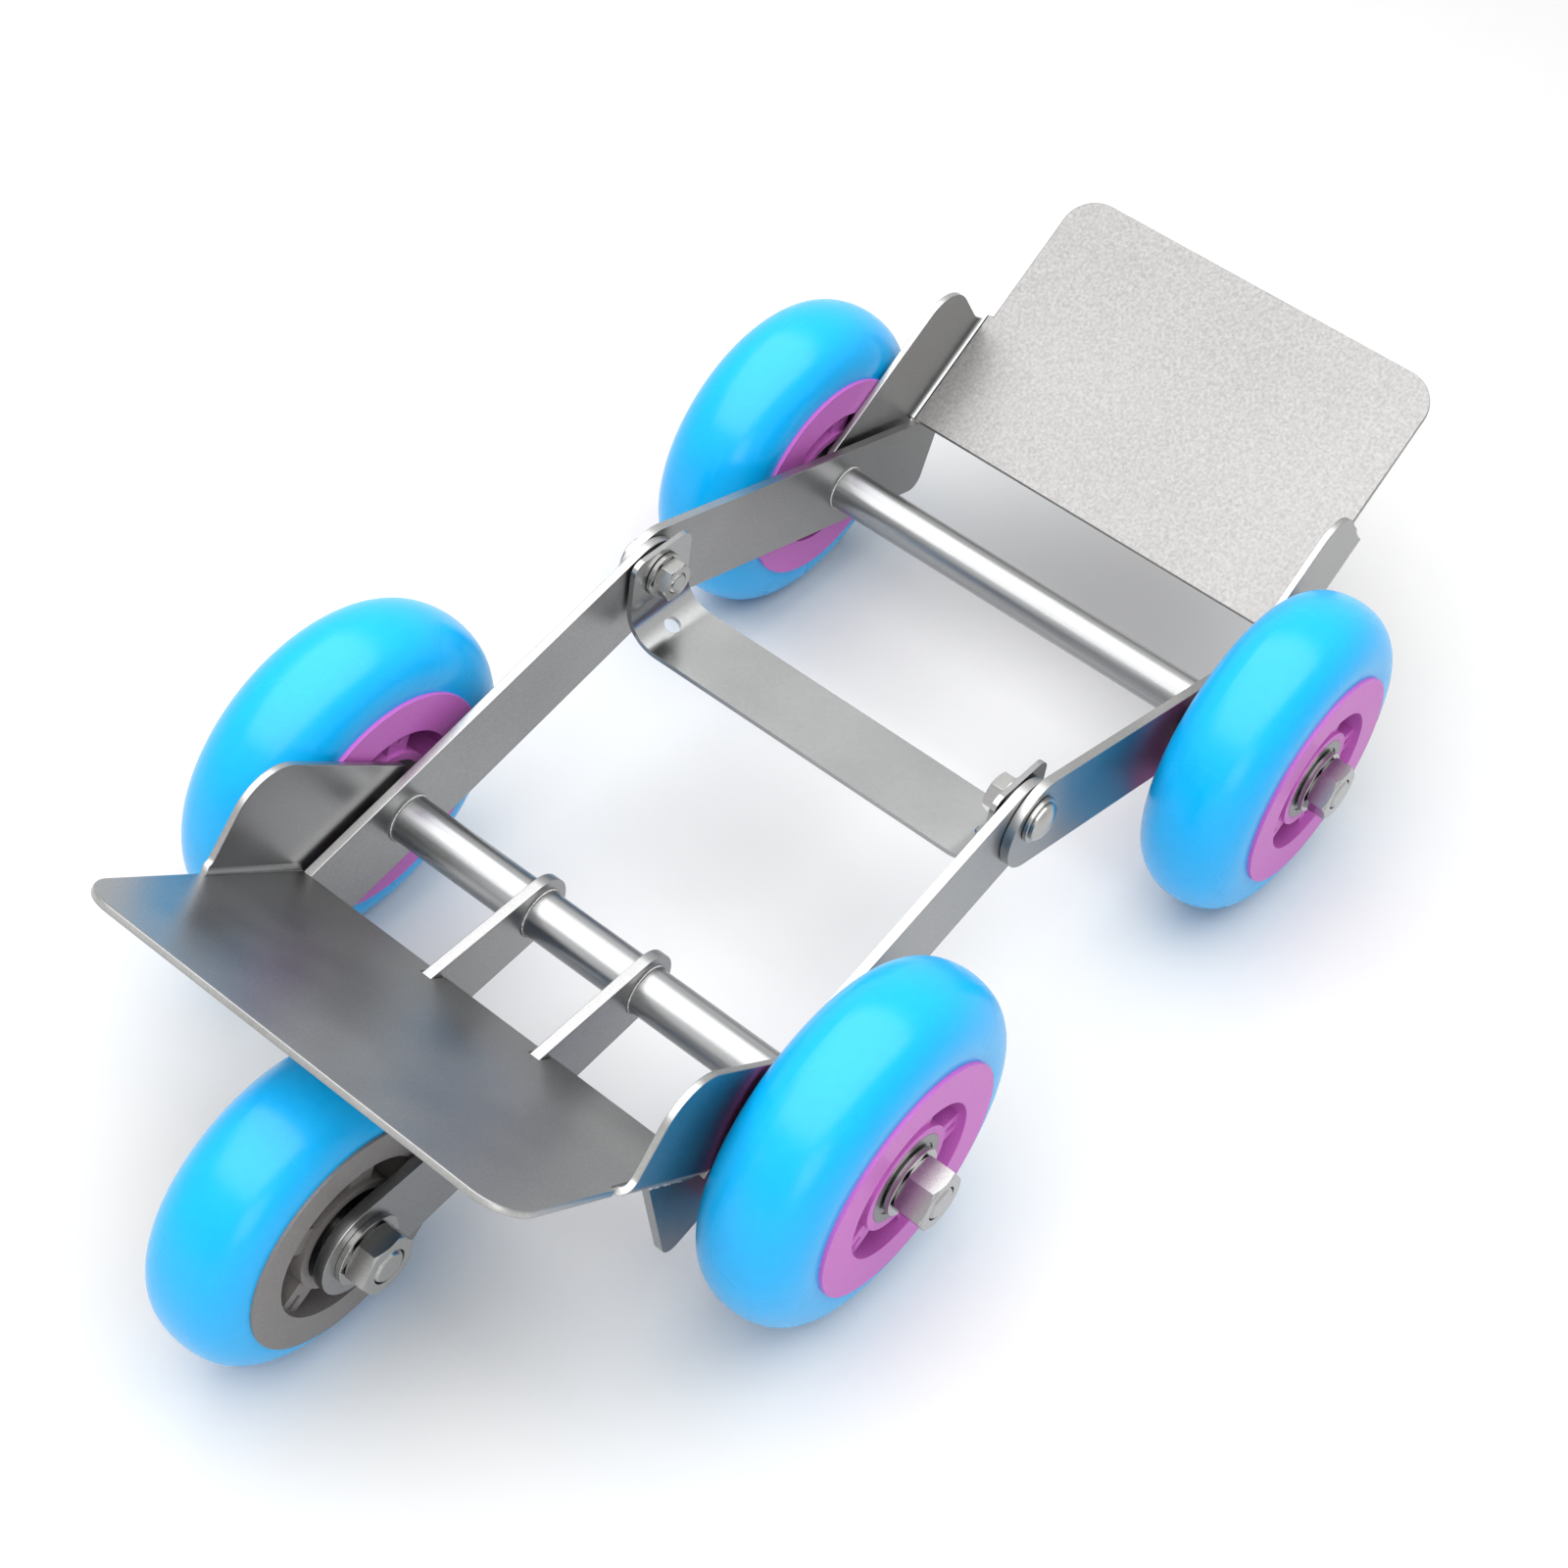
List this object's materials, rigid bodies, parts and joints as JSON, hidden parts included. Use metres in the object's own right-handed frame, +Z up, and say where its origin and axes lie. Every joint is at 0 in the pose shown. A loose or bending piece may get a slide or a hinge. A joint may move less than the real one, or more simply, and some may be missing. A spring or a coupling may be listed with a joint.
{
  "type": "self-clamping tyre dolly",
  "caption": "Low steel dolly in two hinged halves with sky-blue wheels, pink hubs and a small guide wheel; clamp plates swing up to hold one tyre.",
  "frame": {"origin": "on the floor, under the middle of the dolly's length and width", "axes": "+X along the length, away from the guide wheel; +Y across, along the axles; +Z up"},
  "size_m": [0.5553, 0.287, 0.1343],
  "materials": {
    "steel": "satin flat bar and sheet",
    "saddle_steel": "smooth bright strap",
    "tube_steel": "bright round tube",
    "fastener_steel": "bright bolts, nuts and washers",
    "bearing_steel": "ground bearing steel",
    "tyre_blue": "glossy sky-blue cast tyre",
    "hub_pink": "moulded pink hub",
    "hub_grey": "moulded grey hub"
  },
  "bodies": {
    "front_frame": {"front_rail_left": "steel", "front_rail_right": "steel", "front_plate": "steel", "front_wing_left": "steel", "front_wing_right": "steel", "front_cross_tube": "tube_steel", "fork_arm_left": "steel", "fork_arm_right": "steel", "hinge_bolts": "fastener_steel", "hinge_nuts": "fastener_steel", "hinge_washers": "fastener_steel", "hinge_spacers": "fastener_steel", "front_axle_rod": "fastener_steel", "front_axle_nuts": "fastener_steel", "front_axle_washers": "fastener_steel", "front_axle_collars": "fastener_steel", "front_axle_sleeves": "fastener_steel", "guide_axle_bolt": "fastener_steel", "guide_axle_nut": "fastener_steel", "guide_axle_washers": "fastener_steel", "guide_axle_sleeve": "fastener_steel", "inner_races_front_left": "bearing_steel", "inner_races_front_right": "bearing_steel", "inner_races_guide": "bearing_steel"},
    "rear_frame": {"rear_rail_left": "steel", "rear_rail_right": "steel", "rear_plate": "steel", "rear_wing_left": "steel", "rear_wing_right": "steel", "rear_cross_tube": "tube_steel", "rear_axle_rod": "fastener_steel", "rear_axle_nuts": "fastener_steel", "rear_axle_washers": "fastener_steel", "rear_axle_collars": "fastener_steel", "rear_axle_sleeves": "fastener_steel", "inner_races_rear_left": "bearing_steel", "inner_races_rear_right": "bearing_steel"},
    "saddle": {"saddle_strap": "saddle_steel"},
    "wheel_front_left": {"tyre_front_left": "tyre_blue", "hub_front_left": "hub_pink", "outer_races_front_left": "bearing_steel", "balls_front_left": "bearing_steel"},
    "wheel_front_right": {"tyre_front_right": "tyre_blue", "hub_front_right": "hub_pink", "outer_races_front_right": "bearing_steel", "balls_front_right": "bearing_steel"},
    "wheel_rear_left": {"tyre_rear_left": "tyre_blue", "hub_rear_left": "hub_pink", "outer_races_rear_left": "bearing_steel", "balls_rear_left": "bearing_steel"},
    "wheel_rear_right": {"tyre_rear_right": "tyre_blue", "hub_rear_right": "hub_pink", "outer_races_rear_right": "bearing_steel", "balls_rear_right": "bearing_steel"},
    "wheel_guide": {"tyre_guide": "tyre_blue", "hub_guide": "hub_grey", "outer_races_guide": "bearing_steel", "balls_guide": "bearing_steel"}
  },
  "joints": [
    {"name": "frame_fold", "type": "hinge", "parent": "front_frame", "child": "rear_frame", "pos_m": [0.01752, 0, 0.09846], "axis": [0, -1, 0], "range_deg": [-80, 70]},
    {"name": "saddle_swing", "type": "hinge", "parent": "front_frame", "child": "saddle", "pos_m": [0.01752, 0, 0.09846], "axis": [0, -1, 0], "range_deg": [-90, 90]},
    {"name": "spin_front_left", "type": "hinge", "parent": "front_frame", "child": "wheel_front_left", "pos_m": [-0.10122, 0, 0.0625], "axis": [0, 1, 0], "continuous": true},
    {"name": "spin_front_right", "type": "hinge", "parent": "front_frame", "child": "wheel_front_right", "pos_m": [-0.10122, 0, 0.0625], "axis": [0, 1, 0], "continuous": true},
    {"name": "spin_rear_left", "type": "hinge", "parent": "rear_frame", "child": "wheel_rear_left", "pos_m": [0.13626, 0, 0.0625], "axis": [0, 1, 0], "continuous": true},
    {"name": "spin_rear_right", "type": "hinge", "parent": "rear_frame", "child": "wheel_rear_right", "pos_m": [0.13626, 0, 0.0625], "axis": [0, 1, 0], "continuous": true},
    {"name": "spin_guide", "type": "hinge", "parent": "front_frame", "child": "wheel_guide", "pos_m": [-0.22394, 0, 0.053], "axis": [0, 1, 0], "continuous": true}
  ]
}
